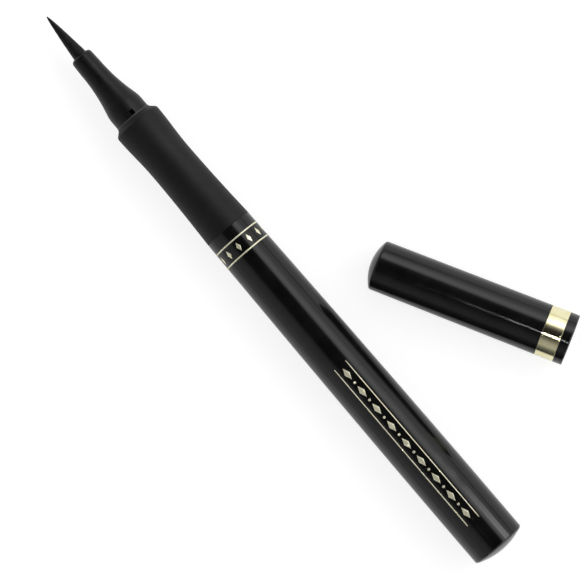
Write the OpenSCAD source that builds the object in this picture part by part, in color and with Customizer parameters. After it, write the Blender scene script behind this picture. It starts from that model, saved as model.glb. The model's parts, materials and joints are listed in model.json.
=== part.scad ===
// Liquid eyeliner pen lying on its side, with its cap off and lying beside it. Millimetres.
// Every piece is turned about its own long axis. Outline points are [radius, station].
// A pen station is the distance from the nib's tip towards the tail.
// A cap station is the distance from the apex of the closed end towards the mouth.

/* [Nib] */
// Length of the nib that stands out of the nozzle
nib_exposed = 9.4; // [7:0.1:12]
// Diameter of the nib where it enters the nozzle
nib_d = 2.7; // [2.2:0.05:3]
// Radius of the rounded tip
nib_tip_r = 0.12; // [0.08:0.01:0.3]
// Length of the nib's straight root inside the nozzle
nib_root_l = 9; // [6:0.1:10]
// Length of the collar of the holder behind the nib, around the feed core
holder_neck_l = 2; // [1:0.1:3]
// Wall of the nib holder
holder_wall = 0.3; // [0.2:0.01:0.4]

/* [Nozzle] */
// Diameter behind the rounded front edge
nozzle_tip_d = 4.22; // [3.9:0.02:4.6]
// Diameter at the end of the slender neck
nozzle_neck_d = 4.4; // [4.2:0.02:5]
// Radius of the rounded front edge
nozzle_round = 0.65; // [0.3:0.05:0.7]
// Length from the front face to the start of the flare
nozzle_neck_l = 2.85; // [2:0.05:6]
// Radius of the hollow curve at the start of the flare
flare_hollow_r = 34; // [20:0.5:50]
// Radius of the rounded curve at the end of the flare
flare_crown_r = 7; // [4:0.5:14]
// Diameter of the land that the cap goes over
cap_land_d = 7; // [6.8:0.05:7.2]
// Length of the land that the cap goes over
cap_land_l = 1.65; // [1.2:0.05:4]
// Thickness of the front lip around the nib
nozzle_lip_t = 1; // [0.6:0.1:2]
// Wall around the cavity under the land
nozzle_wall = 0.6; // [0.4:0.05:0.7]
// Diameter of the spigot inside the grip
nozzle_spigot_d = 6.6; // [6.2:0.05:6.7]
// Length of the spigot inside the grip
nozzle_spigot_l = 5.7; // [4:0.1:8]
// Width of the air vent at the foot of the land
vent_w = 0.8; // [0.3:0.05:1]
// Length of the air vent along the land
vent_l = 1; // [0.4:0.05:1.2]
// Turn of the air vent from straight up, towards the side on which the cap lies
vent_turn = 15; // [0:1:90]

/* [Grip] */
// Height of the lip at the front over the nozzle's land
lip_h = 0.1; // [0.06:0.01:0.2]
// Length of the lip at the front
lip_l = 0.3; // [0.1:0.05:0.6]
// How much the lip widens towards its rear, on the radius
lip_draft = 0.02; // [0.01:0.01:0.05]
// Radius of the lip's front edge
lip_round = 0.08; // [0.03:0.01:0.1]
// Length of the sloping shoulder behind the lip
shoulder_l = 0.95; // [0.5:0.05:2.5]
// Radius of the rounded corner behind the slope
shoulder_round = 0.6; // [0.2:0.05:1]
// Diameter behind the shoulder's corner
grip_front_d = 9.27; // [9:0.01:9.8]
// Diameter at the waist
waist_d = 8.58; // [8.4:0.01:9]
// Diameter where the grip meets the barrel
grip_rear_d = 9.45; // [9.3:0.01:9.8]
// Distance from the end of the shoulder's corner to the waist
waist_at = 8.9; // [6:0.1:12]
// Length from the end of the shoulder's corner to the barrel
grip_l = 25.1; // [20:0.1:32]
// Bore around the collector
grip_bore_d = 7.04; // [6.9:0.01:7.1]
// Length of the spigot inside the barrel
grip_spigot_l = 7; // [5:0.1:10]

/* [Barrel] */
// Length from the grip to the rear rim
barrel_l = 75; // [60:0.1:90]
// Diameter of the straight stretch at the rear
barrel_rear_d = 10.5; // [9.9:0.05:11]
// Length of the straight stretch at the rear
rear_land_l = 12; // [8:0.5:20]
// Bore from end to end
barrel_bore_d = 8.2; // [8.1:0.01:8.3]
// Radius of the rims
rim_round = 0.12; // [0.05:0.01:0.2]

/* [Tail plug] */
// How far the head's side lies inside the barrel's surface
tail_inset = 0.25; // [0.05:0.01:0.4]
// Radius of the domed face
tail_dome_r = 12.8; // [8:0.1:20]
// Radius of the rounded edge around the domed face
tail_edge_r = 0.2; // [0.1:0.05:1]
// Length of the spigot inside the barrel
tail_spigot_l = 6; // [4:0.1:9]
// Wall of the spigot
tail_wall = 1; // [0.6:0.05:1.4]

/* [Snap rings] */
// Height of the snap ring on each spigot
snap_h = 0.12; // [0.06:0.01:0.16]
// Length of the snap ring on each spigot
snap_l = 0.8; // [0.5:0.05:1.2]

/* [Ink tank] */
// Wall of the tank
tank_wall = 0.5; // [0.4:0.05:0.7]
// Thickness of the tank's rear wall
tank_end_t = 0.8; // [0.5:0.05:1.5]
// Radial room between the tank and the barrel
tank_room = 0.15; // [0.05:0.01:0.2]
// Thickness of the plug's flange
plug_flange_t = 1; // [0.6:0.05:1.6]
// Length of the plug inside the tank
plug_l = 4; // [3:0.1:8]
// Height of each sealing rib on the plug
plug_rib_h = 0.1; // [0.05:0.01:0.15]
// Length of each sealing rib on the plug
plug_rib_l = 0.6; // [0.4:0.05:0.8]
// Number of sealing ribs on the plug
plug_ribs = 2; // [1:1:3]
// Diameter of the mixing ball
ball_d = 3.5; // [2.5:0.1:4.5]
// Gap under the ball and in front of it
ball_gap = 0.05; // [0.03:0.01:0.1]

/* [Collector] */
// Diameter of the feed core
core_d = 2; // [1.6:0.05:2.2]
// Length of the feed core inside the tank, past the plug
core_reach = 3.5; // [2:0.1:8]
// Diameter of the stem that carries the fins
stem_d = 3; // [2.6:0.05:3.1]
// Thickness of a fin
fin_t = 0.4; // [0.3:0.02:0.5]
// Thickness of a baffle
baffle_t = 0.9; // [0.6:0.05:1.2]
// Number of fins between two baffles
fins = 6; // [3:1:8]
// Number of groups of fins
fin_groups = 4; // [3:1:5]
// Width of the air channel through the fins
air_channel_w = 1.2; // [0.8:0.1:1.8]
// Width of the notch in a baffle
baffle_notch_w = 0.7; // [0.4:0.05:1]
// Width of the ink slit
ink_slit_w = 0.25; // [0.15:0.01:0.4]

/* [Cap] */
// Length from the apex to the mouth
cap_l = 38.6; // [38:0.1:50]
// Diameter in front of the closed end's rounded edge
cap_end_d = 9.27; // [9:0.01:9.9]
// Diameter at the mouth
cap_mouth_d = 9.55; // [9.2:0.01:10]
// Radius of the domed face of the closed end
cap_dome_r = 8.7; // [7:0.1:20]
// Radius of the rounded edge around the domed face
cap_edge_r = 0.55; // [0.2:0.05:1]
// Wall of the outer shell around the cavity
cap_wall = 1.15; // [0.9:0.05:1.3]
// Thickness of the closed end under the dome's apex
cap_end_t = 2.4; // [1.8:0.1:4]
// Length of the metal band
band_l = 3.5; // [2:0.1:5]
// Length of the ring at the mouth
mouth_ring_l = 1.7; // [1:0.1:3]
// Wall of the collar inside the band
collar_wall = 0.45; // [0.35:0.01:0.5]
// Chamfer inside the mouth, which stops on the grip's lip
mouth_chamfer = 0.6; // [0.5:0.05:0.7]
// Radius of the edges beside the metal band
seam_round = 0.05; // [0.02:0.01:0.1]
// Wall of the inner cup
liner_wall = 0.8; // [0.5:0.05:0.9]
// Thickness of the inner cup's flange
liner_flange_t = 1; // [0.6:0.05:1.6]
// Free length in front of the nib when the cap is closed
nib_room = 1.2; // [0.6:0.1:3]

/* [Layout] */
// Distance of the cap's closed end from the nib's tip, along the pen
cap_along = 72.2; // [60:0.1:90]
// Free width between the barrel and the cap's closed end
cap_gap = 5.8; // [4:0.1:20]
// Turn of the cap against the pen
cap_turn = 28.1; // [0:0.1:60]

/* [Hidden] */

$fn = 96;
// Steps along a curved stretch of an outline
curve_steps = 16;
edge_steps = 6;
// How far every cut runs past what it cuts
overrun = 0.5;
// Radial clearance of pieces pressed or snapped together
fit = 0.03;
// Radial clearance of the cap on the pen
cap_fit = 0.03;

// Shapes of the curved outlines
nib_swell_share = 0.8;
grip_swell_share = 1.8;
barrel_swell_share = 1.7;

nib_r = nib_d / 2;
core_r = core_d / 2;
stem_r = stem_d / 2;
holder_r = nib_r + fit + holder_wall;
neck_r = nozzle_neck_d / 2;
land_r = cap_land_d / 2;
lip_r = land_r + lip_h;
lip_rear_r = lip_r + lip_draft;
nozzle_spigot_r = nozzle_spigot_d / 2;
cavity_r = nozzle_spigot_r - nozzle_wall;
grip_front_r = grip_front_d / 2;
grip_bore_r = grip_bore_d / 2;
grip_rear_r = grip_rear_d / 2;
waist_r = waist_d / 2;
barrel_rear_r = barrel_rear_d / 2;
tail_head_r = barrel_rear_r - tail_inset;
barrel_bore_r = barrel_bore_d / 2;
spigot_r = barrel_bore_r - fit;
tank_r = barrel_bore_r - tank_room;
tank_bore_r = tank_r - tank_wall;
plug_r = tank_bore_r - fit - plug_rib_h;
fin_r = grip_bore_r - fit;
ball_r = ball_d / 2;

// The flare is two arcs that meet on one slope
flare_rise = land_r - neck_r;
flare_slope = acos(1 - flare_rise / (flare_hollow_r + flare_crown_r));
flare_l = (flare_hollow_r + flare_crown_r) * sin(flare_slope);

// Pen stations, from the nib's tip to the apex of the tail
x_nozzle = nib_exposed;
x_flare = x_nozzle + nozzle_neck_l;
x_land = x_flare + flare_l;
x_shoulder = x_land + cap_land_l;
x_slope = x_shoulder + lip_l;
x_corner = x_slope + shoulder_l;
x_grip = x_corner + shoulder_round * tan(atan((grip_front_r - lip_rear_r) / shoulder_l) / 2);
x_waist = x_grip + waist_at;
x_barrel = x_grip + grip_l;
x_rear_land = x_barrel + barrel_l - rear_land_l;
x_tail = x_barrel + barrel_l;
pen_l = x_tail + dome_depth(tail_head_r, tail_dome_r, tail_edge_r);

// Pen stations of the inner pieces
x_holder = x_nozzle + nozzle_lip_t;
x_core = x_nozzle + nib_root_l;
x_snout = x_core + holder_neck_l;
x_cavity = x_land - nozzle_wall;
x_comb = x_shoulder + nozzle_spigot_l;
x_plug = x_barrel + grip_spigot_l;
x_tank = x_plug + plug_flange_t;
x_tank_end = x_tail - tail_spigot_l;
x_core_end = x_tank + plug_l + core_reach;

// The mixing ball lies on the tank's wall, just behind the feed core
ball_x = x_core_end + ball_gap + ball_r;
ball_drop = tank_bore_r - ball_gap - ball_r;

// The comb fills the room between the nozzle and the plug
comb_l = x_plug - x_comb;
fin_gap = (comb_l - baffle_t * (fin_groups + 1) - fin_t * fins * fin_groups) / (fin_groups * (fins + 1));
fin_pitch = fin_t + fin_gap;
fin_group_l = baffle_t + fin_gap + fins * fin_pitch;

cap_end_r = cap_end_d / 2;
cap_mouth_r = cap_mouth_d / 2;
cap_end_l = dome_depth(cap_end_r, cap_dome_r, cap_edge_r);
cap_bore_r = land_r + cap_fit;
collar_r = cap_bore_r + collar_wall;
collar_seat_r = collar_r + fit;
cap_cavity_r = cap_end_r - cap_wall;
liner_seal_r = neck_r + cap_fit;
liner_r = liner_seal_r + liner_wall;

// Pen station of the mouth when the cap is closed, and cap stations that follow from it
cap_closed_at = x_shoulder + mouth_chamfer + cap_fit - lip_h;
function cap_station(x) = cap_l - cap_closed_at + x;
c_liner_end = cap_station(-nib_room - liner_wall);
c_nib_tip = cap_station(-nib_room);
c_seal = cap_station(x_nozzle - nozzle_round);
c_liner_mouth = cap_station(x_flare + nozzle_round);
c_liner_flange = c_liner_mouth - liner_flange_t;
c_ring = cap_l - mouth_ring_l;
c_band = c_ring - band_l;

// Outer outlines
function steps(count) = [for (i = [0:count]) i / count];
function between(a, b, share) = a + (b - a) * share;
function nib_outline(share) = [
    between(nib_tip_r, nib_r, pow(share, nib_swell_share)),
    between(nib_tip_r, x_nozzle, share)
];
function grip_radius(x) = x < x_waist
    ? between(waist_r, grip_front_r, (1 + cos(180 * (x - x_grip) / waist_at)) / 2)
    : between(waist_r, grip_rear_r, pow((x - x_waist) / (x_barrel - x_waist), grip_swell_share));
function barrel_radius(x) =
    let (from_land = max(0, x_rear_land - x) / (x_rear_land - x_barrel))
    between(barrel_rear_r, grip_rear_r, pow(from_land, barrel_swell_share));
function cap_radius(c) = between(cap_end_r, cap_mouth_r, (c - cap_end_l) / (cap_l - cap_end_l));

// A quarter round that starts flat across the axis and ends along it
function front_round(radius, x, round_r) = [
    for (t = steps(edge_steps))
        [radius - round_r * (1 - sin(90 * t)), x + round_r * (1 - cos(90 * t))]
];
function rear_round(radius, x, round_r) = [
    for (t = steps(edge_steps))
        [radius - round_r * (1 - cos(90 * t)), x - round_r * (1 - sin(90 * t))]
];
// The arc that rounds the corner at b, on the way from a to c
function unit(v) = v / norm(v);
function corner(a, b, c, round_r) =
    let (
        back = unit(a - b), on = unit(c - b),
        half = acos(back * on) / 2,
        middle = b + unit(back + on) * round_r / sin(half),
        first = b + back * round_r / tan(half) - middle,
        last = b + on * round_r / tan(half) - middle,
        sweep = 180 - 2 * half
    )
    [
        for (t = steps(edge_steps))
            middle + (first * sin(sweep * (1 - t)) + last * sin(sweep * t)) / sin(sweep)
    ];
// A domed face inside a rounded edge that starts along the axis at station x and points to higher stations
function dome_edge_angle(radius, dome_r, edge_r) = asin((radius - edge_r) / (dome_r - edge_r));
function dome_depth(radius, dome_r, edge_r) =
    dome_r - (dome_r - edge_r) * cos(dome_edge_angle(radius, dome_r, edge_r));
function dome(radius, x, dome_r, edge_r) =
    let (turn = dome_edge_angle(radius, dome_r, edge_r), apex = x + dome_depth(radius, dome_r, edge_r))
    concat(
        [
            for (t = steps(edge_steps))
                let (a = between(90, turn, t))
                [radius - edge_r * (1 - sin(a)), x + edge_r * cos(a)]
        ],
        [
            for (t = steps(curve_steps)) if (t > 0)
                let (a = turn * (1 - t))
                [dome_r * sin(a), apex - dome_r * (1 - cos(a))]
        ]
    );
// The two points of a straight stretch and a spigot's snap ring
function straight(radius, x0, x1) = [[radius, x0], [radius, x1]];
function snap_ring(radius, middle) = [
    [radius, middle - snap_l / 2], [radius + snap_h, middle - snap_l / 4],
    [radius + snap_h, middle + snap_l / 4], [radius, middle + snap_l / 2]
];
function reversed(points) = [for (i = [len(points) - 1:-1:0]) points[i]];
// The same outline, pointing to lower stations
function mirrored(points) = [for (p = reversed(points)) [p[0], -p[1]]];

// Turns an outer outline and a bore's outline, both from front to rear, about the X axis
module turned(outer, bore) {
    rotate([0, 90, 0])
        rotate_extrude()
            polygon(concat(outer, reversed(bore)));
}

// The pen rests on its shoulder and on the fullest part of its barrel
pen_slopes = [
    for (t = steps(curve_steps * 2))
        let (x = between(x_barrel, x_tail, t))
        (barrel_radius(x) - grip_front_r) / (x - x_grip)
];
pen_lie = atan(max(pen_slopes));
pen_rise = grip_front_r * cos(pen_lie) - x_grip * sin(pen_lie);
// The cap rests along its own slight taper
cap_lie = atan((cap_mouth_r - cap_end_r) / (cap_l - cap_end_l));
cap_rise = cap_end_r * cos(cap_lie) - cap_end_l * sin(cap_lie);
cap_aside = barrel_rear_r + cap_gap + cap_end_r;

// The origin is under the middle of the whole layout
reach_aside = cap_aside + cap_l * cos(cap_lie) * sin(cap_turn) + cap_mouth_r * cos(cap_turn);
middle_x = pen_l * cos(pen_lie) / 2;
middle_y = (reach_aside - barrel_rear_r) / 2;

module place_pen() {
    translate([-middle_x, -middle_y, pen_rise])
        rotate([0, -pen_lie, 0])
            children();
}

module place_cap() {
    translate([cap_along - middle_x, cap_aside - middle_y, cap_rise])
        rotate([0, -cap_lie, cap_turn])
            children();
}

module nib() {
    tip = [for (t = steps(edge_steps)) nib_tip_r * [sin(90 * t), 1 - cos(90 * t)]];
    taper = [for (t = steps(curve_steps)) if (t > 0) nib_outline(t)];
    color("#1d1d1f")
        place_pen()
            turned(concat(tip, taper, [[nib_r, x_core]]), [[0, x_core]]);
}

module nib_holder() {
    seat = straight(nib_r + fit, x_holder, x_core);
    neck = straight(core_r + fit, x_core, x_snout);
    color("gainsboro")
        place_pen()
            turned(straight(holder_r, x_holder, x_snout), concat(seat, neck));
}

// Outer outline of the nozzle in front of the grip
function nozzle_front() = concat(
    front_round(nozzle_tip_d / 2, x_nozzle, nozzle_round),
    [for (t = steps(curve_steps)) let (a = flare_slope * t)
        [neck_r + flare_hollow_r * (1 - cos(a)), x_flare + flare_hollow_r * sin(a)]],
    [for (t = steps(curve_steps)) if (t > 0) let (a = flare_slope * (1 - t))
        [land_r - flare_crown_r * (1 - cos(a)), x_land - flare_crown_r * sin(a)]]
);

// A slot through the foot of the land into the cavity, which runs on a little under the grip
module air_vent() {
    rotate([-vent_turn, 0, 0])
        translate([x_shoulder - vent_l, -vent_w / 2, (cavity_r + holder_r) / 2])
            cube([vent_l + vent_w / 2, vent_w, land_r]);
}

module nozzle() {
    snap_middle = x_shoulder + nozzle_spigot_l / 2;
    spigot = concat(
        [[land_r, x_shoulder], [nozzle_spigot_r, x_shoulder]],
        snap_ring(nozzle_spigot_r, snap_middle),
        [[nozzle_spigot_r, x_comb]]
    );
    bore = concat(
        straight(nib_r + fit, x_nozzle, x_holder),
        straight(holder_r + fit, x_holder, x_snout),
        straight(cavity_r, x_cavity, x_comb)
    );
    color("#232326")
        place_pen()
            difference() {
                turned(concat(nozzle_front(), spigot), bore);
                air_vent();
            }
}

module grip_sleeve() {
    slope_foot = [lip_rear_r, x_slope];
    shoulder = concat(
        front_round(lip_r, x_shoulder, lip_round),
        [slope_foot],
        corner(slope_foot, [grip_front_r, x_corner], [grip_front_r, x_grip], shoulder_round)
    );
    waist = [
        for (t = steps(curve_steps)) if (t > 0)
            let (x = between(x_grip, x_waist, t)) [grip_radius(x), x]
    ];
    swell = [
        for (t = steps(curve_steps)) if (t > 0)
            let (x = between(x_waist, x_barrel, t)) [grip_radius(x), x]
    ];
    spigot = concat(
        [[spigot_r, x_barrel]],
        snap_ring(spigot_r, x_barrel + grip_spigot_l / 2),
        [[spigot_r, x_plug]]
    );
    nozzle_seat = concat(
        [[nozzle_spigot_r + fit, x_shoulder]],
        snap_ring(nozzle_spigot_r + fit, x_shoulder + nozzle_spigot_l / 2),
        [[nozzle_spigot_r + fit, x_comb]]
    );
    color("#2d2d2f")
        place_pen()
            turned(
                concat(shoulder, waist, swell, spigot),
                concat(nozzle_seat, straight(grip_bore_r, x_comb, x_plug))
            );
}

// Start of each group of fins, with its baffle in front
function group_start(g) = x_comb + g * fin_group_l;
function disc_outline(start, thickness) = [
    [stem_r, start], [fin_r, start], [fin_r, start + thickness], [stem_r, start + thickness]
];
function comb_outline() = [
    for (g = [0:fin_groups])
        for (f = [0:(g < fin_groups ? fins : 0)])
            let (
                start = f == 0 ? group_start(g) : group_start(g) + baffle_t + fin_gap + (f - 1) * fin_pitch,
                thickness = f == 0 ? baffle_t : fin_t
            )
            each disc_outline(start, thickness)
];

// A channel cut into the comb from its rim, with its floor at floor_r
module comb_channel(turn, width, floor_r, x0, x1) {
    rotate([turn, 0, 0])
        translate([x0, -width / 2, floor_r])
            cube([x1 - x0, width, fin_r + overrun - floor_r]);
}

// The finned comb: fins at capillary gaps, an air channel along the top of every group,
// a notch in every baffle on alternate sides, and an ink slit down to the core underneath
module collector() {
    snout = straight(stem_r, x_snout, x_comb);
    color("whitesmoke")
        place_pen()
            difference() {
                turned(concat(snout, comb_outline()), straight(core_r + fit, x_snout, x_plug));
                for (g = [0:fin_groups - 1])
                    comb_channel(0, air_channel_w, stem_r, group_start(g) + baffle_t, group_start(g + 1));
                for (g = [0:fin_groups])
                    comb_channel(
                        g % 2 == 0 ? 90 : -90, baffle_notch_w, stem_r,
                        group_start(g) - overrun * (g == 0 ? 1 : 0), group_start(g) + baffle_t
                    );
                comb_channel(180, ink_slit_w, 0, x_comb + baffle_t, x_plug - baffle_t);
            }
}

module feed_core() {
    color("#3a3a3c")
        place_pen()
            turned(
                concat(straight(core_r, x_core, x_core_end - fit), [[core_r - fit, x_core_end]]),
                straight(0, x_core, x_core_end)
            );
}

// Middle of each sealing rib on the plug
function rib_middle(i) = x_tank + plug_l * (i + 1) / (plug_ribs + 1);

module tank_plug() {
    flange = concat(straight(tank_r, x_plug, x_tank), [[plug_r, x_tank]]);
    ribs = [
        for (i = [0:plug_ribs - 1]) each [
            [plug_r, rib_middle(i) - plug_rib_l / 2], [plug_r + plug_rib_h, rib_middle(i) - plug_rib_l / 4],
            [plug_r + plug_rib_h, rib_middle(i) + plug_rib_l / 4], [plug_r, rib_middle(i) + plug_rib_l / 2]
        ]
    ];
    color("ivory")
        place_pen()
            turned(
                concat(flange, ribs, [[plug_r, x_tank + plug_l]]),
                straight(core_r + fit, x_plug, x_tank + plug_l)
            );
}

module ink_tank() {
    rear_wall = straight(0, x_tank_end - tank_end_t, x_tank_end);
    color("lightgrey")
        place_pen()
            turned(
                straight(tank_r, x_tank, x_tank_end),
                concat(straight(tank_bore_r, x_tank, x_tank_end - tank_end_t), rear_wall)
            );
}

module mixing_ball() {
    color("silver")
        place_pen()
            translate([ball_x, 0, -ball_drop])
                sphere(r = ball_r);
}

module barrel() {
    taper = [
        for (t = steps(curve_steps)) if (t > 0)
            let (x = between(x_barrel, x_rear_land, t)) [barrel_radius(x), x]
    ];
    front_snap = snap_ring(barrel_bore_r, x_barrel + grip_spigot_l / 2);
    rear_snap = snap_ring(barrel_bore_r, x_tail - tail_spigot_l / 2);
    bore = concat([[barrel_bore_r, x_barrel]], front_snap, rear_snap, [[barrel_bore_r, x_tail]]);
    color("#101012")
        place_pen()
            turned(
                concat(
                    front_round(grip_rear_r, x_barrel, rim_round),
                    taper,
                    rear_round(barrel_rear_r, x_tail, rim_round)
                ),
                bore
            );
}

module tail_plug() {
    spigot = concat(
        [[spigot_r, x_tank_end]],
        snap_ring(spigot_r, x_tail - tail_spigot_l / 2),
        [[spigot_r, x_tail]]
    );
    hollow = concat(straight(spigot_r - tail_wall, x_tank_end, x_tail), [[0, x_tail]]);
    color("#141416")
        place_pen()
            turned(concat(spigot, dome(tail_head_r, x_tail, tail_dome_r, tail_edge_r)), hollow);
}

module cap_shell() {
    closed_end = mirrored(dome(cap_end_r, -cap_end_l, cap_dome_r, cap_edge_r));
    cavity = concat(
        [[0, cap_end_t], [cap_cavity_r, cap_end_t], [cap_cavity_r, c_liner_flange]],
        straight(collar_seat_r, c_liner_flange, c_band)
    );
    color("#101012")
        place_cap()
            turned(concat(closed_end, rear_round(cap_radius(c_band), c_band, seam_round)), cavity);
}

module cap_band() {
    color("#d8c792")
        place_cap()
            turned(
                concat(
                    front_round(cap_radius(c_band), c_band, seam_round),
                    rear_round(cap_radius(c_ring), c_ring, seam_round)
                ),
                straight(collar_seat_r, c_band, c_ring)
            );
}

module cap_collar() {
    sleeve = straight(collar_r, c_liner_mouth, c_ring);
    ring = concat(
        front_round(cap_radius(c_ring), c_ring, seam_round),
        rear_round(cap_mouth_r, cap_l, rim_round)
    );
    bore = straight(cap_bore_r, c_liner_mouth, cap_l - mouth_chamfer);
    chamfer_edge = [cap_bore_r + mouth_chamfer, cap_l];
    color("#151517")
        place_cap()
            turned(concat(sleeve, ring), concat(bore, [chamfer_edge]));
}

module cap_liner() {
    cup = straight(liner_r, c_liner_end, c_liner_flange);
    flange = straight(collar_r, c_liner_flange, c_liner_mouth);
    closed_end = straight(0, c_liner_end, c_nib_tip);
    chamber = straight(nib_r + liner_wall / 2, c_nib_tip, c_seal);
    seal = straight(liner_seal_r, c_seal, c_liner_mouth);
    color("ivory")
        place_cap()
            turned(concat(cup, flange), concat(closed_end, chamber, seal));
}

nib();
nib_holder();
nozzle();
grip_sleeve();
collector();
feed_core();
tank_plug();
ink_tank();
mixing_ball();
barrel();
tail_plug();
cap_shell();
cap_band();
cap_collar();
cap_liner();
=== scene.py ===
"""Looks of a liquid eyeliner pen with its cap off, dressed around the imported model. Lengths are in metres."""

import json
import math
import random

import bpy
import numpy as np
from mathutils import Matrix, Vector, noise

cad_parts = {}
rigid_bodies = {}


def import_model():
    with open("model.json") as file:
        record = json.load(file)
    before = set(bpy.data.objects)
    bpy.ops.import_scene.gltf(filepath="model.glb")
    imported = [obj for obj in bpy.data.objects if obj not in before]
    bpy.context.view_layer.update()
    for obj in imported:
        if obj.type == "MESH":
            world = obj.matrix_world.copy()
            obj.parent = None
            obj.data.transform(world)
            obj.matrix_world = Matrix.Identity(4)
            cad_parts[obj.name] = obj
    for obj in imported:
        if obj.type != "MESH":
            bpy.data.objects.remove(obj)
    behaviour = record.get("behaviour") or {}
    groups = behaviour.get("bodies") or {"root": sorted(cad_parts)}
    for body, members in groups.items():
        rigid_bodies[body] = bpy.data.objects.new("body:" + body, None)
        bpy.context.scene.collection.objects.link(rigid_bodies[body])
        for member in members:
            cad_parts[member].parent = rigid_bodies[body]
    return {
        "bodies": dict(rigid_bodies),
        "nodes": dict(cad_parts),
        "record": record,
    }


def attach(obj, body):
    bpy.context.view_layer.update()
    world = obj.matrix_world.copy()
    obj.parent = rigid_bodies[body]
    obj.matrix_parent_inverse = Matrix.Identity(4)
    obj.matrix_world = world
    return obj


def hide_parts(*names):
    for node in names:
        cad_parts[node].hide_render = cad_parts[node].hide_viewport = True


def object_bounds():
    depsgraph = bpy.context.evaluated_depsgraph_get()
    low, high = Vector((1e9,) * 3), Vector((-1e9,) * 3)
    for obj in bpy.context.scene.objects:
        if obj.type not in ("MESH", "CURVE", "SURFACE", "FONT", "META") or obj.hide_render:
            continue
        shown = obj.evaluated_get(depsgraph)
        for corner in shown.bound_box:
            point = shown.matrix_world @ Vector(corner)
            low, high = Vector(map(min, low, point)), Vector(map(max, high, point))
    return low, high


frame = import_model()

MM = 0.001
NODES = frame["nodes"]
RECORD = frame["record"]


def grey(level, warmth=0.0):
    """A neutral colour, a little warmer or cooler."""
    return (level * (1 + warmth), level, level * (1 - warmth), 1.0)


# Camera: two points of the pen in the photograph give its turn, its scale and its middle
PICTURE_SIDE = 580
NIB_PIXEL = Vector((46.62, 16.56))
TAIL_PIXEL = Vector((502.55, 549.44))
CAMERA_HEIGHT = 0.75
# How far to the right of the picture's middle the lens stands, and how far above it in the picture
CAMERA_ASIDE = Vector((0.075, 0.032))
# Rounds in which the turn, the scale and the middle settle
CAMERA_STEPS = 20
SENSOR = 36.0

# Studio
FLOOR_SIDE = 6.0
FLOOR_DROP = 0.02 * MM
# The floor's colour and glow, as it is looked at and as it is mirrored
FLOOR_COLOUR = grey(0.28)
FLOOR_GLOW = 0.80
MIRRORED_FLOOR_COLOUR = grey(0.86)
MIRRORED_FLOOR_GLOW = 0.16
# How strongly the room lights matte surfaces
ROOM_FOR_DIFFUSE = 0.72
# Height of a direction above the horizon, as the sine, and how bright the room is there in reflections
ROOM_LEVELS = ((0.0, 1.0), (0.14, 0.75), (0.5, 0.5), (0.72, 0.42), (0.84, 0.22), (0.95, 0.02), (1.0, 0.0))
# The dark end of the room: its direction from +X, and the cosines at which it begins and is full
ROOM_END_TURN = -52.0
ROOM_END_COSINES = (0.85, 0.98)
ROOM_END_LEVEL = 0.14
# The soft box is brighter towards its middle: each layer's lowest and highest tilt from the vertical
SOFTBOX_LAYERS = ((33.0, 50.0), (29.0, 61.0), (25.5, 80.0))
SOFTBOX_LAYER_LEVEL = 0.63
SOFTBOX_DISTANCE = 1.1
SOFTBOX_LENGTH = 2.3
SOFTBOX_TURN = -15.0
# Flat panels along the pen. Each has its tilts, its start from the object's middle and its length along
# the pen, its side and its level
FILL_PANEL = ((28.0, 82.0), -0.237, 0.385, -1, 0.2)
TAIL_PANEL = ((42.0, 66.0), 0.085, 0.25, 1, 3.5)
# A strip with a honeycomb grid over the cap's mouth. Its beam leans towards the mouth and leaves the pen out
STRIP_TILT = 10.3
STRIP_HEIGHT = 1.0
STRIP_START = -0.018
STRIP_SIZE = (0.075, 0.04)
STRIP_LEAN = 0.004
STRIP_BEAM = 3.3
STRIP_LEVEL = 130.0
WIDE_OPEN = 180.0

# Lighter and deeper tone of the band and of the printed foil, their roughness, and how fine they are brushed
BAND_GOLD = ((0.90, 0.86, 0.59, 1.0), (0.86, 0.80, 0.47, 1.0))
BAND_ROUGHNESS = 0.13
BAND_LINES = 26.0
FOIL_GOLD = ((0.92, 0.89, 0.70, 1.0), (0.88, 0.84, 0.60, 1.0))
FOIL_ROUGHNESS = 0.36
FOIL_LINES = 8.0
# How metallic the foil is, where 1 is all metal
FOIL_METAL = 0.7

# The part of a noise's range in which a finish changes from one tone to the other, or a mark comes in
NOISE_RANGE = (0.3, 0.7)
SCRATCH_RANGE = (0.70, 0.76)
SMEAR_RANGE = (0.42, 0.72)
DRIED_RANGE = (0.35, 0.6)
STRAND_RANGE = (0.32, 0.68)
BRUSHED_RANGE = (0.25, 0.75)
CREEP_RANGE = (0.62, 0.66)
ROLLED_RANGE = (0.4, 0.7)
ROLLED_ROUGH_RANGE = (0.35, 0.7)

# Colours. Of two, the second is where the noise is high
GLOSS_TONES = (grey(0.0030), grey(0.0052, 0.02))
DUST_TONE = grey(0.05, 0.04)
GRIP_TONES = (grey(0.0036, 0.01), grey(0.0056, 0.03))
# The lip's colour is a painted highlight, far lighter than the grip
PAINTED_LIP_HIGHLIGHT = grey(0.05)
NOZZLE_TONES = (grey(0.0026), grey(0.0046, 0.01))
DRIED_TONE = grey(0.0035)
NIB_TONES = (grey(0.0012), grey(0.0080, 0.03))
CLUMP_TONE = grey(0.0018)
CREEP_TONE = grey(0.012)
CORE_TONES = (grey(0.012), grey(0.05, 0.02))
STEEL_TONES = (grey(0.62), grey(0.5, 0.02))

# Roughness where the noise is low and where it is high
GLOSS_ROUGHNESS = (0.085, 0.135)
GRIP_ROUGHNESS = (0.50, 0.62)
NOZZLE_ROUGHNESS = (0.32, 0.42)
NIB_ROUGHNESS = (0.60, 0.42)
NATURAL_ROUGHNESS = (0.32, 0.45)
CORE_ROUGHNESS = (0.75, 0.5)
STEEL_ROUGHNESS = (0.08, 0.26)

# What marks add to the roughness, and what wear, dried ink and wet ink take from it
SCRATCHES_ADD = 0.06
DUST_ADDS = 0.4
TARNISH_ADDS = 0.06
WEAR_TAKES = 0.07
DRIED_INK_TAKES = 0.10
WET_INK_TAKES = 0.14
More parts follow.
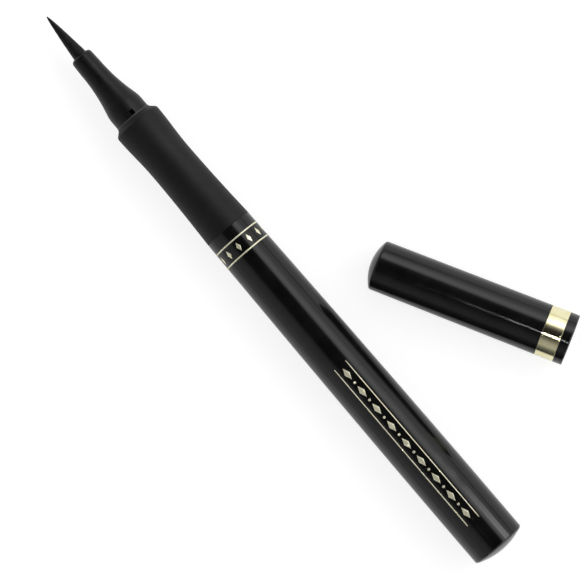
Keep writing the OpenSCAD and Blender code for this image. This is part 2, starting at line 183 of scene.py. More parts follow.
# How far brushed lines go below and above a metal's roughness
BRUSHED_BELOW = 0.04
BRUSHED_ABOVE = 0.05

# Height of the relief in each finish
GLOSS_SWELL = 0.0004 * MM
LATHE_RELIEF = 0.00003 * MM
SCRATCH_DEPTH = 0.00012 * MM
GRIP_SWELL = 0.004 * MM
GRIP_GRAIN = 0.0022 * MM
NOZZLE_GRAIN = 0.0008 * MM
NOZZLE_FLOW = 0.0020 * MM
PARTING_RISE = 0.006 * MM
STRAND_RELIEF = 0.010 * MM
BRUSHED_RELIEF = 0.0001 * MM
NATURAL_GRAIN = 0.0012 * MM
CORE_RELIEF = 0.012 * MM
ROLLED_RELIEF = 0.0006 * MM

# Half the width of the nozzle's parting lines, in millimetres: where they begin and where they are full
PARTING_REACH = (0.07, 0.02)
# The share of a dust speck's size that is inside its soft rim
SPECK_CORE = 0.6
# How much of the nib's colour the clumps take at most
CLUMP_SHARE = 0.5

# How light the undyed mouldings are, what share of that bloom leaves, and how far ink has crept over them
NATURAL_LEVEL = 0.74
COLLECTOR_LEVEL = 0.76
TANK_LEVEL = 0.70
BLOOM_SHADE = 0.9
INKED = 0.4
SPOTTED = 0.12
TANK_SPOTTED = 0.06
CLEAN = 0.02

# The front lip of the grip, worn smoother and painted lighter as a highlight: how far its middle is behind the
# grip's front, its reach and its wear
LIP_MIDDLE = 0.12 * MM
LIP_REACH = 0.26 * MM
LIP_WEAR = 2.5
# Where fingers hold the grip, as a share of its shown length, and how far that reaches to each side
WAIST_SHARE = 0.42
HELD_REACH = 8.0 * MM
# How far dried ink reaches from the nozzle's mouth, and wet ink from the nib's tip
INK_REACH = 1.5 * MM
WET_REACH = 4.0 * MM

# Nib
NIB_ROWS = 110
NIB_SIDES = 200
NIB_ROW_CROWDING = 1.25
LEAST_RADIUS = 0.004 * MM
FIBRE_PITCH = 0.13 * MM
FIBRE_RELIEF = 0.028 * MM
FIBRE_STRETCH = 30
FULL_RELIEF_RADIUS = 0.55 * MM
STRANDS = 34
STRAND_SEED = 11
STRAND_RADIUS = 0.013 * MM
STRAND_TAPER = 0.7
# A loose fibre starts at least this far from the tip. It starts and ends within these shares of the bare nib
STRAND_START = 0.4 * MM
STRAND_LAST_START = 0.86
STRAND_LAST_END = 0.97
STRAND_RUN = (1.0 * MM, 2.6 * MM)
STRAND_DRIFT = 0.25
STRAND_SIDES = 5
STRAND_POINTS = 14
# How high a loose fibre lifts at most, the shares of that height it may take, and how many radii it is sunk
STRAND_LIFT = 0.05 * MM
STRAND_LIFT_SHARES = (0.15, 1.0)
STRAND_SUNK = 0.5

# The barrel's skin is wider than this share of its widest radius. What is narrower is its inside
SKIN_SHARE = 0.88

# Foil ornament on the barrel
FOIL_RISE = 0.022 * MM
FOIL_DEPTH = 0.06 * MM
LINE_STEP = 2.0 * MM
RING_SIDES = 128
# A mark is a grid: its rows, its columns to each side, and the least width of its ends as a share
MARK_STEPS = 14
MARK_SPREAD = 3
MARK_LEAST = 0.04
# Corners of a mark: straight sides make a lozenge, round ones an ellipse
LOZENGE = 1.0
ELLIPSE = 2.0
RING_WIDTH = 0.26 * MM
FRONT_RING_GAP = 3.1 * MM
FRONT_START = 2.4 * MM
FRONT_LOZENGES = 12
FRONT_LOZENGE_SIZE = (1.75 * MM, 0.8 * MM)
CHAIN_START = 32.0 * MM
CHAIN_END = 7.4 * MM
CHAIN_LOZENGES = 9
CHAIN_LOZENGE_SIZE = (2.5 * MM, 1.05 * MM)
CHAIN_DOT = 0.5 * MM
CHAIN_LINE = 0.17 * MM
CHAIN_HALF_WIDTH = 1.35 * MM
CHAIN_TURN = 92.0


class Axis:
    """A turned piece's own axis: a start, the direction along it and two directions across it."""

    def __init__(self, start, along):
        self.along = Vector(along).normalized()
        self.side = Vector((0, 0, 1)).cross(self.along).normalized()
        self.up = self.along.cross(self.side)
        self.start = Vector(start)

    def measure(self, point):
        """Station along the axis and distance from it."""
        offset = Vector(point) - self.start
        station = offset.dot(self.along)
        return station, (offset - self.along * station).length

    def place(self, station, angle, radius):
        """The point at a station, an angle round the axis and a distance from it. 90 degrees is the top."""
        across = self.side * math.cos(angle) + self.up * math.sin(angle)
        return self.start + self.along * station + across * radius


def mount(name):
    """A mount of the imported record, by name."""
    return next(m for m in RECORD["mounts"] if m["name"] == name)


def span(node, axis):
    """Lowest and highest station of a node."""
    stations = [axis.measure(v.co)[0] for v in NODES[node].data.vertices]
    return min(stations), max(stations)


def starting_at(node, point, along):
    """An axis through a point, with station zero at the node's lowest end."""
    axis = Axis(point, along)
    axis.start += axis.along * span(node, axis)[0]
    return axis


def outline(node, axis, least_share=0.0):
    """Stations and radii of a node's outer surface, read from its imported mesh."""
    rings = {}
    for vertex in NODES[node].data.vertices:
        station, radius = axis.measure(vertex.co)
        key = round(station, 6)
        rings[key] = max(radius, rings.get(key, 0.0))
    widest = max(rings.values())
    stations = sorted(s for s in rings if rings[s] > widest * least_share)
    return stations, [rings[s] for s in stations]


def radius_reader(node, axis, least_share=0.0):
    """A function that gives the node's outer radius at a station."""
    stations, radii = outline(node, axis, least_share)
    return lambda station: float(np.interp(station, stations, radii))


def remove_startup_objects():
    """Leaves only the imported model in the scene."""
    kept = set(frame["nodes"].values()) | set(frame["bodies"].values())
    for thing in [o for o in bpy.data.objects if o not in kept]:
        bpy.data.objects.remove(thing)


remove_startup_objects()
CAD_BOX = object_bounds()
PEN = starting_at("nib", mount("cap_seat")["pos_m"], -Vector(mount("cap_seat")["axis"]))
CAP = starting_at("cap_shell", mount("cap_mouth")["pos_m"], mount("cap_mouth")["axis"])
NOZZLE_START, NOZZLE_END = span("nozzle", PEN)
GRIP_START, GRIP_END = span("grip_sleeve", PEN)
BARREL_START, BARREL_END = span("barrel", PEN)
TAIL_END = span("tail_plug", PEN)[1]


# Camera

def matrix_of(x, y, z, place):
    """The placement with three given directions."""
    turn = Matrix((x, y, z)).transposed().to_4x4()
    turn.translation = place
    return turn


def picture_point(view, lens, point):
    """Where a point lies in the picture, in pixels from its upper left corner."""
    seen = view.inverted() @ point
    reach = lens / SENSOR * PICTURE_SIDE / -seen.z
    return Vector((PICTURE_SIDE / 2 + seen.x * reach, PICTURE_SIDE / 2 - seen.y * reach))


def camera_view(target, turn):
    """The placement of a camera that looks at the target, with the picture turned by an angle."""
    right = Vector((math.cos(turn), math.sin(turn), 0))
    upward = Vector((-math.sin(turn), math.cos(turn), 0))
    stand = target + right * CAMERA_ASIDE.x + upward * CAMERA_ASIDE.y
    stand.z += CAMERA_HEIGHT
    backward = (stand - target).normalized()
    turned = upward.cross(backward).normalized()
    return matrix_of(turned, backward.cross(turned), backward, stand)


def make_camera():
    """Looks down from the upper right, turned, scaled and moved until the pen lies as in the photograph."""
    tip = PEN.start
    tail = PEN.place(TAIL_END, 0, 0)
    wanted = TAIL_PIXEL - NIB_PIXEL
    target = (tip + tail) / 2
    turn = 0.0
    lens = SENSOR
    for _ in range(CAMERA_STEPS):
        view = camera_view(target, turn)
        first = picture_point(view, lens, tip)
        shown = picture_point(view, lens, tail) - first
        turn += wanted.angle_signed(shown)
        lens *= wanted.length / shown.length
        view = camera_view(target, turn)
        miss = picture_point(view, lens, tip) - NIB_PIXEL
        pixel = SENSOR * (view.translation - target).length / (PICTURE_SIDE * lens)
        target += view.to_3x3() @ Vector((miss.x * pixel, -miss.y * pixel, 0))
    data = bpy.data.cameras.new("camera")
    data.sensor_width = SENSOR
    data.lens = lens
    data.clip_start = CAMERA_HEIGHT / 10
    data.clip_end = FLOOR_SIDE * 4
    camera = bpy.data.objects.new("camera", data)
    camera.matrix_world = camera_view(target, turn)
    bpy.context.scene.collection.objects.link(camera)
    bpy.context.scene.camera = camera


# Shader helpers

class Paint:
    """A node tree under construction, with short ways to add nodes to it."""

    def __init__(self, tree):
        self.tree = tree

    def node(self, kind, inputs=None, **properties):
        """Adds a node. Inputs are values or sockets, by name or number."""
        made = self.tree.nodes.new(kind)
        for name, value in properties.items():
            setattr(made, name, value)
        for name, value in (inputs or {}).items():
            self.feed(made.inputs[name], value)
        return made

    def feed(self, socket, value):
        """Links a socket to another, or gives it a value."""
        if isinstance(value, bpy.types.NodeSocket):
            self.tree.links.new(value, socket)
        else:
            socket.default_value = value

    def calc(self, operation, *values):
        """A math node's output."""
        made = self.node("ShaderNodeMath", dict(enumerate(values)), operation=operation)
        return made.outputs[0]

    def vector(self, operation, *values):
        """A vector math node's vector output."""
        made = self.node("ShaderNodeVectorMath", dict(enumerate(values)), operation=operation)
        return made.outputs["Vector"]

    def dot(self, one, other):
        """The dot product of two vectors."""
        made = self.node("ShaderNodeVectorMath", {0: one, 1: other}, operation="DOT_PRODUCT")
        return made.outputs["Value"]

    def spread(self, value, low, high, to_low=0.0, to_high=1.0):
        """Maps a range to another, clamped and eased."""
        made = self.node(
            "ShaderNodeMapRange",
            {"Value": value, "From Min": low, "From Max": high, "To Min": to_low, "To Max": to_high},
            interpolation_type="SMOOTHSTEP",
        )
        return made.outputs["Result"]

    def noise(self, place, scale, detail, roughness):
        """A noise texture's value, about 0.5 in the middle."""
        made = self.node(
            "ShaderNodeTexNoise",
            {"Vector": place, "Scale": scale, "Detail": detail, "Roughness": roughness},
        )
        return made.outputs["Fac"]

    def specks(self, place, scale, size):
        """1 inside small round specks with soft rims, one a cell, of a size given as a share of the cell."""
        made = self.node("ShaderNodeTexVoronoi", {"Vector": place, "Scale": scale})
        return self.spread(made.outputs["Distance"], size, size * SPECK_CORE)

    def blend(self, share, one, other):
        """A colour between two."""
        made = self.node("ShaderNodeMix", data_type="RGBA")
        self.feed(made.inputs[0], share)
        self.feed(made.inputs[6], one)
        self.feed(made.inputs[7], other)
        return made.outputs[2]

    def bump(self, height, distance, below=None):
        """A normal that follows a height, on top of another normal if there is one."""
        made = self.node("ShaderNodeBump", {"Height": height, "Distance": distance})
        if below is not None:
            self.feed(made.inputs["Normal"], below)
        return made.outputs["Normal"]

    def any_of(self, *flags):
        """1 where one of the flags is 1."""
        found = flags[0]
        for flag in flags[1:]:
            found = self.calc("MAXIMUM", found, flag)
        return found


class Finish(Paint):
    """A surface material with a principled shader and the coordinates of a turned piece, in millimetres."""

    def __init__(self, name, axis, **settings):
        self.material = bpy.data.materials.new(name)
        self.material.use_nodes = True
        super().__init__(self.material.node_tree)
        self.shader = self.tree.nodes["Principled BSDF"]
        for socket, value in settings.items():
            self.shader.inputs[socket.replace("_", " ")].default_value = value
        place = self.node("ShaderNodeTexCoord").outputs["Object"]
        offset = self.vector("SUBTRACT", place, axis.start)
        self.along = self.dot(offset, axis.along / MM)
        self.side = self.dot(offset, axis.side / MM)
        self.up = self.dot(offset, axis.up / MM)
        self.place = self.joined(self.along, self.side, self.up)

    def joined(self, x, y, z):
        """A vector of three values."""
        return self.node("ShaderNodeCombineXYZ", {0: x, 1: y, 2: z}).outputs[0]

    def clouds(self, scale, detail=2.0, roughness=0.5):
        """A noise that is alike in all directions. Its scale is in cells a millimetre."""
        return self.noise(self.place, scale, detail, roughness)

    def streaks(self, along, across, detail=2.0, roughness=0.5):
        """A noise that is drawn out. Its scales along the axis and across it are in cells a millimetre."""
        place = self.vector("MULTIPLY", self.place, (along, across, across))
        return self.noise(place, 1.0, detail, roughness)

    def mottled(self, value, tones, change=NOISE_RANGE):
        """The colour between two tones that a noise gives."""
        return self.blend(self.spread(value, *change), *tones)

    def near(self, station, reach):
        """1 at a station along the axis, and 0 further than the reach from it."""
        gap = self.calc("ABSOLUTE", self.calc("SUBTRACT", self.along, station / MM))
        return self.spread(gap, reach / MM, 0.0)

    def colour(self, value):
        """Feeds the base colour."""
        self.feed(self.shader.inputs["Base Color"], value)

    def roughness(self, value):
        """Feeds the roughness."""
        self.feed(self.shader.inputs["Roughness"], value)

    def normal(self, value):
        """Feeds the normal."""
        self.feed(self.shader.inputs["Normal"], value)


# Materials

def gloss_plastic(name, axis):
    """Polished black moulding: faint handling smudges, hairline scratches and a few specks of dust."""
    paint = Finish(name, axis, Specular_IOR_Level=0.5, IOR=1.41)
    smudge = paint.clouds(scale=0.22, detail=3.0, roughness=0.6)
    scratch = paint.spread(paint.streaks(along=0.25, across=9.0, detail=1.0), *SCRATCH_RANGE)
    turned = paint.streaks(along=14.0, across=0.02, detail=1.0)
    dust = paint.specks(paint.place, scale=0.42, size=0.028)
    paint.colour(paint.blend(dust, paint.mottled(smudge, GLOSS_TONES), DUST_TONE))
    smeared = paint.spread(smudge, *SMEAR_RANGE, *GLOSS_ROUGHNESS)
    scratched = paint.calc("MULTIPLY_ADD", scratch, SCRATCHES_ADD, smeared)
    paint.roughness(paint.calc("MULTIPLY_ADD", dust, DUST_ADDS, scratched))
    swell = paint.bump(paint.clouds(scale=0.9), GLOSS_SWELL)
    lathe = paint.bump(turned, LATHE_RELIEF, swell)
    paint.normal(paint.bump(scratch, -SCRATCH_DEPTH, lathe))
    return paint.material


def matte_grip(name):
    """Soft matte moulding: a fine even grain, rubbed smoother where fingers hold it and on its front lip, with
    a painted highlight along that lip.
    """
    paint = Finish(name, PEN, Specular_IOR_Level=0.3, IOR=1.46, Sheen_Weight=0.02, Sheen_Roughness=0.5)
    grain = paint.clouds(scale=13.0, detail=3.0, roughness=0.65)
    cloud = paint.clouds(scale=0.35, detail=3.0, roughness=0.6)
    held = paint.near(GRIP_START + (BARREL_START - GRIP_START) * WAIST_SHARE, HELD_REACH)
    lip = paint.near(GRIP_START + LIP_MIDDLE, LIP_REACH)
    rubbed = paint.calc("MULTIPLY_ADD", lip, LIP_WEAR, paint.calc("MULTIPLY", held, cloud))
    # The front lip is painted lighter: a painted highlight along it
    paint.colour(paint.blend(lip, paint.mottled(cloud, GRIP_TONES), PAINTED_LIP_HIGHLIGHT))
    matte = paint.spread(grain, *NOISE_RANGE, *GRIP_ROUGHNESS)
    paint.roughness(paint.calc("MULTIPLY_ADD", rubbed, -WEAR_TAKES, matte))
    soft = paint.bump(cloud, GRIP_SWELL)
    paint.normal(paint.bump(grain, GRIP_GRAIN, soft))
    return paint.material


def satin_nozzle(name):
    """Satin moulding: drawn flow lines, two faint parting lines, and dried ink round its mouth."""
    paint = Finish(name, PEN, Specular_IOR_Level=0.3, IOR=1.46)
    flow = paint.streaks(along=0.5, across=5.0, detail=3.0, roughness=0.6)
    grain = paint.clouds(scale=9.0, roughness=0.6)
    parting = paint.spread(paint.calc("ABSOLUTE", paint.up), *PARTING_REACH)
    mouth = paint.near(NOZZLE_START, INK_REACH)
    inked = paint.spread(paint.calc("MULTIPLY", mouth, paint.calc("ADD", flow, 0.5)), *DRIED_RANGE)
    paint.colour(paint.blend(inked, paint.mottled(flow, NOZZLE_TONES), DRIED_TONE))
    satin = paint.spread(flow, *NOISE_RANGE, *NOZZLE_ROUGHNESS)
    paint.roughness(paint.calc("MULTIPLY_ADD", inked, -DRIED_INK_TAKES, satin))
    fine = paint.bump(grain, NOZZLE_GRAIN)
    drawn = paint.bump(flow, NOZZLE_FLOW, fine)
    paint.normal(paint.bump(parting, PARTING_RISE, drawn))
    return paint.material


def nib_fibre(name):
    """Bonded fibres ground to a point and soaked with ink, wetter towards the tip."""
    paint = Finish(name, PEN, Specular_IOR_Level=0.25, IOR=1.45, Sheen_Weight=0.02, Sheen_Roughness=0.4)
    strand = paint.streaks(along=0.35, across=11.0, roughness=0.6)
    clump = paint.streaks(along=0.25, across=2.2)
    wet = paint.near(0.0, WET_REACH)
    tone = paint.mottled(strand, NIB_TONES, STRAND_RANGE)
    paint.colour(paint.blend(paint.calc("MULTIPLY", clump, CLUMP_SHARE), tone, CLUMP_TONE))
    dry = paint.spread(strand, *NOISE_RANGE, *NIB_ROUGHNESS)
    paint.roughness(paint.calc("MULTIPLY_ADD", wet, -WET_INK_TAKES, dry))
    paint.normal(paint.bump(strand, STRAND_RELIEF))
    return paint.material


def pale_gold(name, axis, tones, roughness, brushed, metal=1.0):
    """Pale gold metal: fine lines around the piece, and a slight tarnish in patches."""
    paint = Finish(name, axis, Metallic=metal)
    lines = paint.streaks(along=brushed, across=0.03, detail=3.0, roughness=0.7)
    patch = paint.clouds(scale=0.6, detail=3.0, roughness=0.6)
    paint.colour(paint.mottled(patch, tones))
    rubbed = paint.spread(lines, *BRUSHED_RANGE, roughness - BRUSHED_BELOW, roughness + BRUSHED_ABOVE)
    paint.roughness(paint.calc("MULTIPLY_ADD", patch, TARNISH_ADDS, rubbed))
    paint.normal(paint.bump(lines, BRUSHED_RELIEF))
    return paint.material


def natural_plastic(name, axis, level, stain):
    """Undyed moulding with mould bloom, and ink that has crept over part of it."""
    paint = Finish(name, axis, Specular_IOR_Level=0.45, Subsurface_Weight=0.08, Subsurface_Scale=0.3 * MM)
    bloom = paint.clouds(scale=0.8, detail=3.0, roughness=0.6)
    creep = paint.streaks(along=0.35, across=0.9, detail=4.0, roughness=0.6)
    grain = paint.clouds(scale=8.0)
    tone = paint.mottled(bloom, (grey(level, 0.012), grey(level * BLOOM_SHADE, 0.03)))
    inked = paint.spread(creep, CREEP_RANGE[0] - stain, CREEP_RANGE[1] - stain)
    paint.colour(paint.blend(inked, tone, CREEP_TONE))
    paint.roughness(paint.spread(bloom, *NOISE_RANGE, *NATURAL_ROUGHNESS))
    paint.normal(paint.bump(grain, NATURAL_GRAIN))
    return paint.material


def ink_fibre(name):
    """A rod of bonded fibres, soaked through with ink."""
    paint = Finish(name, PEN, Specular_IOR_Level=0.4, Sheen_Weight=0.1)
    strand = paint.streaks(along=0.2, across=9.0, detail=3.0, roughness=0.6)
    paint.colour(paint.mottled(strand, CORE_TONES))
    paint.roughness(paint.spread(strand, *NOISE_RANGE, *CORE_ROUGHNESS))
    paint.normal(paint.bump(strand, CORE_RELIEF))
    return paint.material


def bright_steel(name):
    """A polished steel ball with rolling marks."""
    paint = Finish(name, PEN, Metallic=1.0)
    marks = paint.clouds(scale=3.0, detail=4.0, roughness=0.7)
    paint.colour(paint.mottled(marks, STEEL_TONES, ROLLED_RANGE))
    paint.roughness(paint.spread(marks, *ROLLED_ROUGH_RANGE, *STEEL_ROUGHNESS))
    paint.normal(paint.bump(marks, ROLLED_RELIEF))
    return paint.material


def dress_nodes():
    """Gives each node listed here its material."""
    gloss_pen = gloss_plastic("barrel_gloss", PEN)
    gloss_cap = gloss_plastic("cap_gloss", CAP)
    inner_pen = natural_plastic("inner_plastic", PEN, NATURAL_LEVEL, SPOTTED)
    finishes = {
        "nib_holder": natural_plastic("holder_plastic", PEN, NATURAL_LEVEL, INKED),
        "nozzle": satin_nozzle("nozzle_satin"),
        "grip_sleeve": matte_grip("grip_matte"),
        "collector": natural_plastic("collector_plastic", PEN, COLLECTOR_LEVEL, INKED),
        "feed_core": ink_fibre("core_fibre"),
        "tank_plug": inner_pen,
        "ink_tank": natural_plastic("tank_plastic", PEN, TANK_LEVEL, TANK_SPOTTED),
        "mixing_ball": bright_steel("ball_steel"),
        "barrel": gloss_pen,
        "tail_plug": gloss_pen,
        "cap_shell": gloss_cap,
        "cap_band": pale_gold("band_gold", CAP, BAND_GOLD, BAND_ROUGHNESS, BAND_LINES),
        "cap_collar": gloss_cap,
        "cap_liner": natural_plastic("liner_plastic", CAP, NATURAL_LEVEL, CLEAN),
    }
    for name, material in finishes.items():
        node = NODES[name]
        node.data.materials.clear()
        node.data.materials.append(material)


# Pieces

def new_piece(name, vertices, faces, material):
    """A smooth-shaded mesh that rides on the pen."""
    mesh = bpy.data.meshes.new(name)
    mesh.from_pydata(vertices, [], faces)
    mesh.validate()
    mesh.polygons.foreach_set("use_smooth", [True] * len(mesh.polygons))
    mesh.materials.append(material)
    piece = bpy.data.objects.new(name, mesh)
    bpy.context.scene.collection.objects.link(piece)
    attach(piece, "pen")
    return piece


def tube_faces(first, rows, sides):
    """Quads between the rings of a tube whose vertices start at an index."""
    faces = []
    for row in range(rows - 1):
        for side in range(sides):
            here = first + row * sides + side
            beside = first + row * sides + (side + 1) % sides
            faces.append((here, beside, beside + sides, here + sides))
    return faces


def fibre_relief(station, angle, radius):
    """Height of the ground fibre bundle over the smooth cone, above or below zero."""
    across = radius / FIBRE_PITCH
    spot = Vector((math.cos(angle) * across, math.sin(angle) * across, 0))
    spot.z = station / (FIBRE_PITCH * FIBRE_STRETCH)
    strength = min(1.0, radius / FULL_RELIEF_RADIUS)
    return noise.noise(spot) * FIBRE_RELIEF * strength


def make_nib(material):
    """The nib as a bundle of fibres ground to a point. It replaces the plain cone."""
    radius_at = radius_reader("nib", PEN)
    length = span("nib", PEN)[1]
    vertices = []
    for row in range(NIB_ROWS):
        share = row / (NIB_ROWS - 1)
        station = length * share ** NIB_ROW_CROWDING
        plain = radius_at(station)
        for side in range(NIB_SIDES):
            angle = 2 * math.pi * side / NIB_SIDES
            radius = max(0.0, plain - FIBRE_RELIEF / 2 + fibre_relief(station, angle, plain))
            if station > NOZZLE_START:
                radius = plain
            vertices.append(PEN.place(station, angle, max(radius, LEAST_RADIUS)))
    faces = tube_faces(0, NIB_ROWS, NIB_SIDES)
    faces.append(tuple(reversed(range(NIB_SIDES))))
    last = (NIB_ROWS - 1) * NIB_SIDES
    faces.append(tuple(range(last, last + NIB_SIDES)))
    piece = new_piece("nib_point", vertices, faces, material)
    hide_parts("nib")


def strand_points(draw, radius_at):
    """The middle line of one loose fibre on the nib, as stations, angles and radii."""
    start = draw.uniform(STRAND_START, NOZZLE_START * STRAND_LAST_START)
    run = draw.uniform(*STRAND_RUN)
    angle = draw.uniform(0, 2 * math.pi)
    drift = draw.uniform(-STRAND_DRIFT, STRAND_DRIFT)
    lift = draw.uniform(*STRAND_LIFT_SHARES) * STRAND_LIFT
    points = []
    for step in range(STRAND_POINTS):
        share = step / (STRAND_POINTS - 1)
        station = min(start + run * (1 - share), NOZZLE_START * STRAND_LAST_END)
        radius = radius_at(station) + lift * share ** 2 - STRAND_RADIUS * STRAND_SUNK
        points.append((station, angle + drift * share, radius))
    return points


def make_strands(material):
    """Loose fibres that lie along the nib and lift a little towards the tip."""
    draw = random.Random(STRAND_SEED)
    radius_at = radius_reader("nib", PEN)
    vertices = []
    faces = []
    for _ in range(STRANDS):
        first = len(vertices)
        points = strand_points(draw, radius_at)
        for index, (station, angle, radius) in enumerate(points):
            middle = PEN.place(station, angle, radius)
            outward = (middle - PEN.place(station, 0, 0)).normalized()
            across = PEN.along.cross(outward)
            thin = STRAND_RADIUS * (1 - STRAND_TAPER * index / (STRAND_POINTS - 1))
            for side in range(STRAND_SIDES):
                turn = 2 * math.pi * side / STRAND_SIDES
                vertices.append(middle + (outward * math.cos(turn) + across * math.sin(turn)) * thin)
        faces += tube_faces(first, STRAND_POINTS, STRAND_SIDES)
        faces.append(tuple(reversed(range(first, first + STRAND_SIDES))))
        last = first + (STRAND_POINTS - 1) * STRAND_SIDES
        faces.append(tuple(range(last, last + STRAND_SIDES)))
    new_piece("nib_strands", vertices, faces, material)


class Foil:
    """Thin sheets of foil that follow the barrel's surface."""

    def __init__(self, name, material):
        self.name = name
        self.material = material
        self.radius_at = radius_reader("barrel", PEN, SKIN_SHARE)
        self.vertices = []
        self.faces = []

    def sheet(self, rows):
        """A grid of points, each a station and a width round the barrel from its top, as a sheet."""
        first = len(self.vertices)
        columns = len(rows[0])
        for row in rows:
            for station, arc in row:
                radius = self.radius_at(station)
                angle = math.radians(CHAIN_TURN) + arc / radius
                self.vertices.append(PEN.place(station, angle, radius + FOIL_RISE))
        for row in range(len(rows) - 1):
            for column in range(columns - 1):
                here = first + row * columns + column
                self.faces.append((here, here + 1, here + 1 + columns, here + columns))

    def ring(self, station, width):
        """A ring right round the barrel."""
        first = len(self.vertices)
        for edge in (station - width / 2, station + width / 2):
            for side in range(RING_SIDES):
                angle = 2 * math.pi * side / RING_SIDES
                self.vertices.append(PEN.place(edge, angle, self.radius_at(edge) + FOIL_RISE))
        self.faces += tube_faces(first, 2, RING_SIDES)

    def mark(self, station, arc, size, corner):
        """A lozenge or an ellipse of a given length and width."""
        rows = []
        for step in range(MARK_STEPS + 1):
            share = -math.cos(math.pi * step / MARK_STEPS)
            reach = max(MARK_LEAST, (1 - abs(share) ** corner) ** (1 / corner))
            half = size[1] / 2 * reach
            place = station + size[0] / 2 * share
            columns = range(-MARK_SPREAD, MARK_SPREAD + 1)
            rows.append([(place, arc + half * k / MARK_SPREAD) for k in columns])
        self.sheet(rows)

    def line(self, start, end, arc, width):
        """A straight line along the barrel."""
        steps = max(2, round((end - start) / LINE_STEP))
        rows = []
        for step in range(steps + 1):
            station = start + (end - start) * step / steps
            rows.append([(station, arc - width / 2), (station, arc), (station, arc + width / 2)])
        self.sheet(rows)

    def finish(self):
        """The piece, with the foil's thickness reaching just into the barrel."""
        piece = new_piece(self.name, self.vertices, self.faces, self.material)
        solid = piece.modifiers.new("thickness", "SOLIDIFY")
        solid.thickness = FOIL_DEPTH
        solid.offset = -1.0


def make_front_foil(material):
    """Two rings round the front of the barrel with a row of lozenges between them."""
    foil = Foil("foil_front", material)
    first = BARREL_START + FRONT_START
    foil.ring(first, RING_WIDTH)
    foil.ring(first + FRONT_RING_GAP, RING_WIDTH)
    middle = first + FRONT_RING_GAP / 2
    around = 2 * math.pi * foil.radius_at(middle)
    for index in range(FRONT_LOZENGES):
        arc = around * index / FRONT_LOZENGES
        foil.mark(middle, arc, FRONT_LOZENGE_SIZE, LOZENGE)
    foil.finish()


def make_chain_foil(material):
    """A chain of slim lozenges and dots between two fine lines, along the rear of the barrel."""
    foil = Foil("foil_chain", material)
    start = BARREL_START + CHAIN_START
    end = TAIL_END - CHAIN_END
    pitch = (end - start) / CHAIN_LOZENGES
    for index in range(CHAIN_LOZENGES):
        middle = start + pitch * (index + 0.5)
        foil.mark(middle, 0.0, CHAIN_LOZENGE_SIZE, LOZENGE)
        if index:
            foil.mark(middle - pitch / 2, 0.0, (CHAIN_DOT, CHAIN_DOT), ELLIPSE)
    for side in (-1, 1):
        foil.line(start, end, side * CHAIN_HALF_WIDTH, CHAIN_LINE)
    foil.finish()


# Studio

def make_floor():
    """A pale floor that shows white where no shadow falls on it."""
    half = FLOOR_SIDE / 2
    mesh = bpy.data.meshes.new("floor")
    corners = [(-half, -half), (half, -half), (half, half), (-half, half)]
    mesh.from_pydata([(x, y, -FLOOR_DROP) for x, y in corners], [], [(0, 1, 2, 3)])
    material = bpy.data.materials.new("floor")
    material.use_nodes = True
    paint = Paint(material.node_tree)
    paint.tree.nodes.clear()
    path = paint.node("ShaderNodeLightPath").outputs
    mirrored = paint.any_of(path["Is Glossy Ray"], path["Is Transmission Ray"])
    seen = paint.calc("MULTIPLY", path["Is Camera Ray"], FLOOR_GLOW)
    glow = paint.calc("MULTIPLY_ADD", mirrored, MIRRORED_FLOOR_GLOW, seen)
    tone = paint.blend(mirrored, FLOOR_COLOUR, MIRRORED_FLOOR_COLOUR)
    matte = paint.node("ShaderNodeBsdfDiffuse", {"Color": tone})
    light = paint.node("ShaderNodeEmission", {"Strength": glow})
    both = paint.node("ShaderNodeAddShader", {0: matte.outputs[0], 1: light.outputs[0]})
    paint.node("ShaderNodeOutputMaterial", {"Surface": both.outputs[0]})
    mesh.materials.append(material)
    floor = bpy.data.objects.new("floor", mesh)
    bpy.context.scene.collection.objects.link(floor)


def make_room():
    """The room: white where it is looked at, and in reflections white at the horizon under a dark ceiling."""
    world = bpy.data.worlds.new("room")
    world.use_nodes = True
    bpy.context.scene.world = world
    paint = Paint(world.node_tree)
    paint.tree.nodes.clear()
    path = paint.node("ShaderNodeLightPath").outputs
    way = paint.node("ShaderNodeTexCoord").outputs["Generated"]
    height = paint.node("ShaderNodeSeparateXYZ", {0: way}).outputs["Z"]
    ramp = paint.node("ShaderNodeValToRGB", {"Fac": height})
    points = ramp.color_ramp.elements
    for position, level in ROOM_LEVELS[1:-1]:
        points.new(position).color = grey(level)
    points[0].color = grey(ROOM_LEVELS[0][1])
    points[len(ROOM_LEVELS) - 1].color = grey(ROOM_LEVELS[-1][1])
    mirrored = paint.any_of(path["Is Glossy Ray"], path["Is Transmission Ray"])
    turn = math.radians(ROOM_END_TURN)
    towards_end = paint.dot(way, (math.cos(turn), math.sin(turn), 0))
    open_part = paint.spread(towards_end, *ROOM_END_COSINES, 1.0, ROOM_END_LEVEL)
    lit = paint.calc("MULTIPLY", ramp.outputs["Color"], open_part)
    reflected = paint.calc("MULTIPLY", mirrored, lit)
    shown = paint.any_of(path["Is Camera Ray"], reflected)
    seen = paint.any_of(path["Is Camera Ray"], mirrored)
    hidden = paint.calc("MULTIPLY", paint.calc("SUBTRACT", 1.0, seen), ROOM_FOR_DIFFUSE)
    light = paint.node("ShaderNodeBackground", {"Strength": paint.calc("ADD", shown, hidden)})
    paint.node("ShaderNodeOutputWorld", {"Surface": light.outputs[0]})


def make_lamp(name, place, target, long_side, size, level, beam=WIDE_OPEN):
    """An area lamp of a given brightness that faces a target, with its long side along a direction."""
    data = bpy.data.lights.new(name, "AREA")
    data.shape = "RECTANGLE"
    data.size, data.size_y = size
    data.spread = math.radians(beam)
    half = math.radians(beam) / 2
    data.energy = math.pi * size[0] * size[1] * level * (1 - half / math.tan(half))
    lamp = bpy.data.objects.new(name, data)
    backward = (place - target).normalized()
    upright = backward.cross(long_side).normalized()
    turned = upright.cross(backward)
    lamp.matrix_world = matrix_of(turned, upright, backward, place)
    lamp.visible_camera = False
    bpy.context.scene.collection.objects.link(lamp)


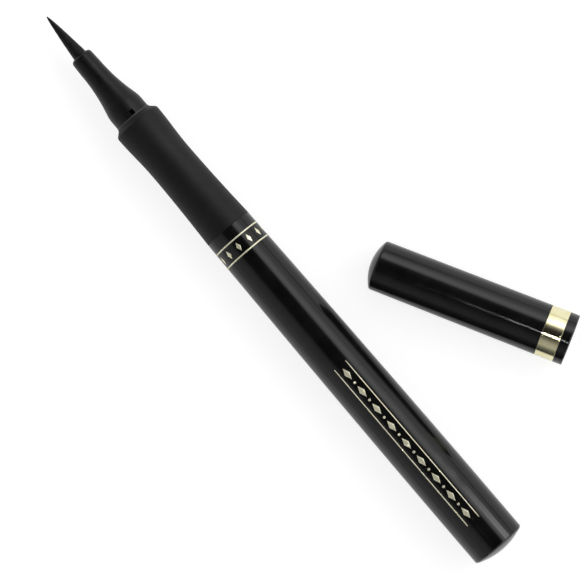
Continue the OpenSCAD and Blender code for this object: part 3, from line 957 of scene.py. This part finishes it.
def reach_over(tilts):
    """The middle tilt of a panel at the soft box's distance, and the width that covers its tilts."""
    low, high = tilts
    width = 2 * SOFTBOX_DISTANCE * math.tan(math.radians((high - low) / 2))
    return math.radians((low + high) / 2), width


def make_softbox(middle):
    """A large soft box on the cap's side, brighter towards its middle."""
    turn = math.radians(SOFTBOX_TURN)
    long_side = Vector((math.cos(turn), math.sin(turn), 0))
    aside = Vector((-math.sin(turn), math.cos(turn), 0))
    for index, tilts in enumerate(SOFTBOX_LAYERS):
        tilt, width = reach_over(tilts)
        away = aside * math.sin(tilt) + Vector((0, 0, math.cos(tilt)))
        place = middle + away * SOFTBOX_DISTANCE
        size = (SOFTBOX_LENGTH, width)
        make_lamp(f"softbox_{index}", place, middle, long_side, size, SOFTBOX_LAYER_LEVEL)


def make_panel(name, middle, tilts, start, length, side, level):
    """A panel along the pen, on the cap's side of it at side 1 and on the other at side -1."""
    tilt, width = reach_over(tilts)
    target = middle + PEN.along * (start + length / 2)
    away = PEN.up * math.cos(tilt) + PEN.side * math.sin(tilt) * side
    make_lamp(name, target + away * SOFTBOX_DISTANCE, target, PEN.along, (length, width), level)


def make_strip():
    """A strip over the cap's mouth, which draws a thin line along the cap."""
    foot = CAP.place(span("cap_shell", CAP)[1] / 2, 0, 0)
    aside = -CAP.side * math.tan(math.radians(STRIP_TILT)) * STRIP_HEIGHT
    ahead = CAP.along * (STRIP_START + STRIP_SIZE[0] / 2)
    place = foot + aside + ahead + Vector((0, 0, STRIP_HEIGHT))
    target = foot + ahead + CAP.along * STRIP_LEAN
    make_lamp("strip", place, target, CAP.along, STRIP_SIZE, STRIP_LEVEL, STRIP_BEAM)


def make_lamps():
    """All the lamps, set around the middle of the object."""
    middle = (CAD_BOX[0] + CAD_BOX[1]) / 2
    make_softbox(middle)
    make_panel("fill", middle, *FILL_PANEL)
    make_panel("tail_light", middle, *TAIL_PANEL)
    make_strip()


make_camera()
make_floor()
make_room()
make_lamps()
dress_nodes()
fibre = nib_fibre("nib_fibre")
printed = pale_gold("foil_gold", PEN, FOIL_GOLD, FOIL_ROUGHNESS, FOIL_LINES, FOIL_METAL)
make_nib(fibre)
make_strands(fibre)
make_front_foil(printed)
make_chain_foil(printed)
bpy.context.scene.view_settings.view_transform = "Standard"
